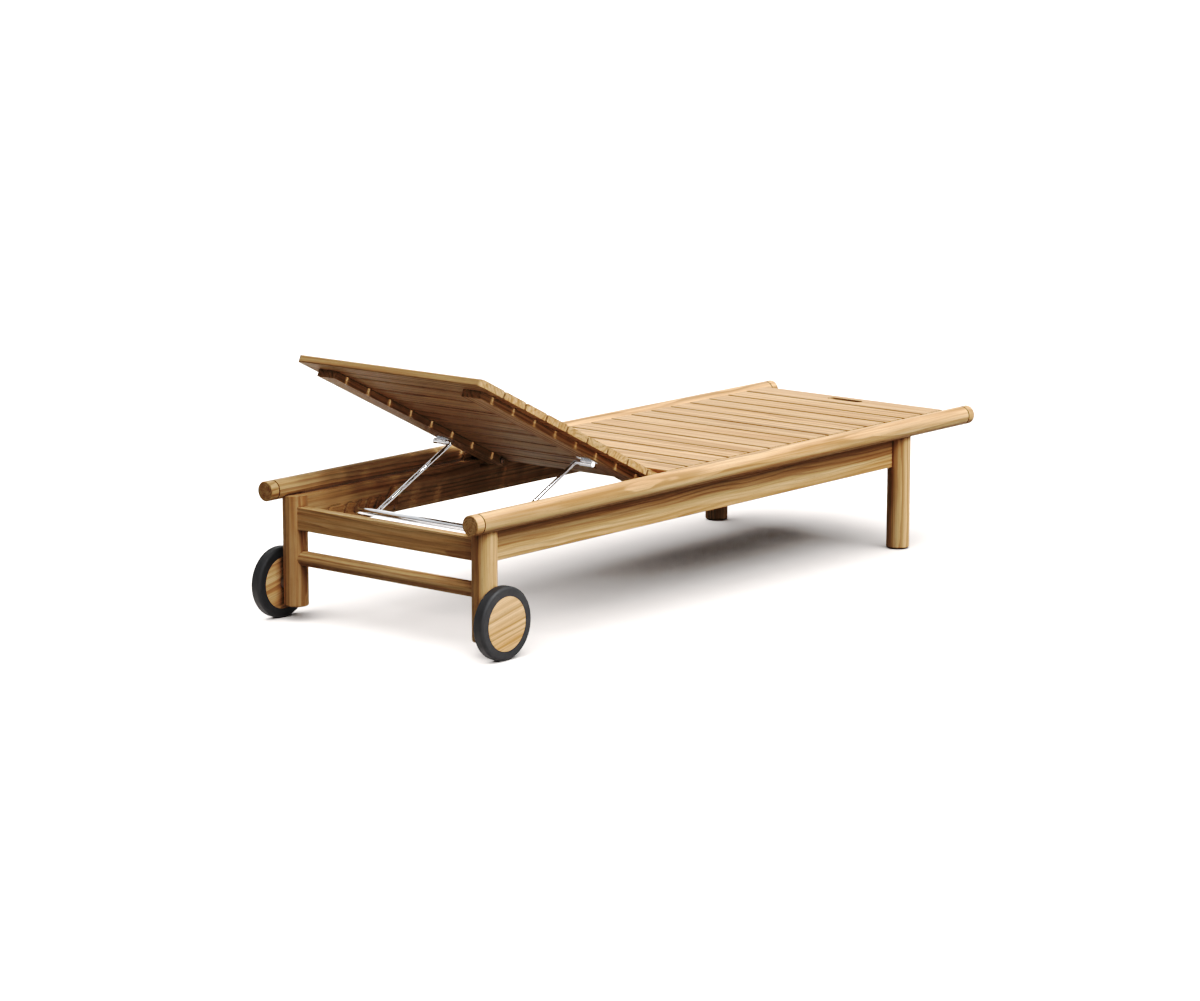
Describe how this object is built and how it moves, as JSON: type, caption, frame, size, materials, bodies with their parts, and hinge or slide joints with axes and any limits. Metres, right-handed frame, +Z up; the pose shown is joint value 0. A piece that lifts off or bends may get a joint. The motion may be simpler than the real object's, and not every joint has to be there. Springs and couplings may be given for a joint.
{
  "type": "reclining sun lounger",
  "caption": "Slatted teak sun lounger with round side rails, a backrest propped by a chrome stay in notched racks, and wooden wheels with rubber tyres at the head end.",
  "frame": {"origin": "centre of the bounding box's underside, on the floor under the middle of the lounger", "axes": "+X along the lounger to its foot end, +Y to the left of a person lying with their head at -X, +Z up"},
  "size_m": [2.0412, 0.7616, 0.6608],
  "materials": {
    "teak_along": "oiled, grain along X",
    "teak_cap": "oiled, end grain to the outside",
    "teak_upright": "oiled, grain upright",
    "teak_across": "oiled, grain along Y",
    "teak_batten": "oiled, grain along the backrest",
    "teak_disc": "oiled, grain across the disc",
    "chrome_stay": "polished",
    "steel_fixings": "satin",
    "browned_steel": "browned, satin",
    "tyre_rubber": "matt",
    "black_nylon": "matt"
  },
  "bodies": {
    "frame": {"rail_left": "teak_along", "rail_right": "teak_along", "cap_head_left": "teak_cap", "cap_head_right": "teak_cap", "cap_foot_left": "teak_cap", "cap_foot_right": "teak_cap", "leg_head_left": "teak_upright", "leg_head_right": "teak_upright", "leg_foot_left": "teak_upright", "leg_foot_right": "teak_upright", "foot_glides": "black_nylon", "apron_left": "teak_along", "apron_right": "teak_along", "apron_head": "teak_across", "apron_foot": "teak_across", "stretcher_head": "teak_across", "bearer_left": "teak_along", "bearer_right": "teak_along", "seat_batten": "teak_along", "foot_board": "teak_across", "seat_slat_1": "teak_across", "seat_slat_2": "teak_across", "seat_slat_3": "teak_across", "seat_slat_4": "teak_across", "seat_slat_5": "teak_across", "seat_slat_6": "teak_across", "seat_slat_7": "teak_across", "seat_slat_8": "teak_across", "seat_slat_9": "teak_across", "seat_slat_10": "teak_across", "seat_slat_11": "teak_across", "seat_slat_12": "teak_across", "seat_slat_13": "teak_across", "hinge_pins": "browned_steel", "stay_racks": "teak_along", "axles": "steel_fixings", "frame_bolts": "browned_steel"},
    "backrest": {"head_board": "teak_across", "back_slat_1": "teak_across", "back_slat_2": "teak_across", "back_slat_3": "teak_across", "back_slat_4": "teak_across", "back_slat_5": "teak_across", "back_slat_6": "teak_across", "back_slat_7": "teak_across", "back_slat_8": "teak_across", "back_batten_left": "teak_batten", "back_batten_right": "teak_batten", "saddle_left": "chrome_stay", "saddle_right": "chrome_stay", "saddle_screws": "steel_fixings"},
    "stay": {"stay_arm_left": "chrome_stay", "stay_arm_right": "chrome_stay", "stay_bar": "chrome_stay"},
    "wheel_left": {"wheel_disc_left": "teak_disc", "tyre_left": "tyre_rubber", "hub_bush_left": "black_nylon"},
    "wheel_right": {"wheel_disc_right": "teak_disc", "tyre_right": "tyre_rubber", "hub_bush_right": "black_nylon"}
  },
  "joints": [
    {"name": "back_recline", "type": "hinge", "parent": "frame", "child": "backrest", "pos_m": [-0.2844, 0, 0.321], "axis": [0, 1, 0], "range_deg": [-26, 26.5]},
    {"name": "stay_swing", "type": "hinge", "parent": "backrest", "child": "stay", "pos_m": [-0.47607, 0, 0.39223], "axis": [0, 1, 0], "range_deg": [-45.5, 44.5]},
    {"name": "wheel_left_spin", "type": "hinge", "parent": "frame", "child": "wheel_left", "pos_m": [-0.9314, 0.365, 0.0892], "axis": [0, 1, 0], "continuous": true},
    {"name": "wheel_right_spin", "type": "hinge", "parent": "frame", "child": "wheel_right", "pos_m": [-0.9314, -0.365, 0.0892], "axis": [0, 1, 0], "continuous": true}
  ],
  "couplings": [
    {"joint": "stay_swing", "follows": "back_recline", "ratio": -1.6754}
  ]
}
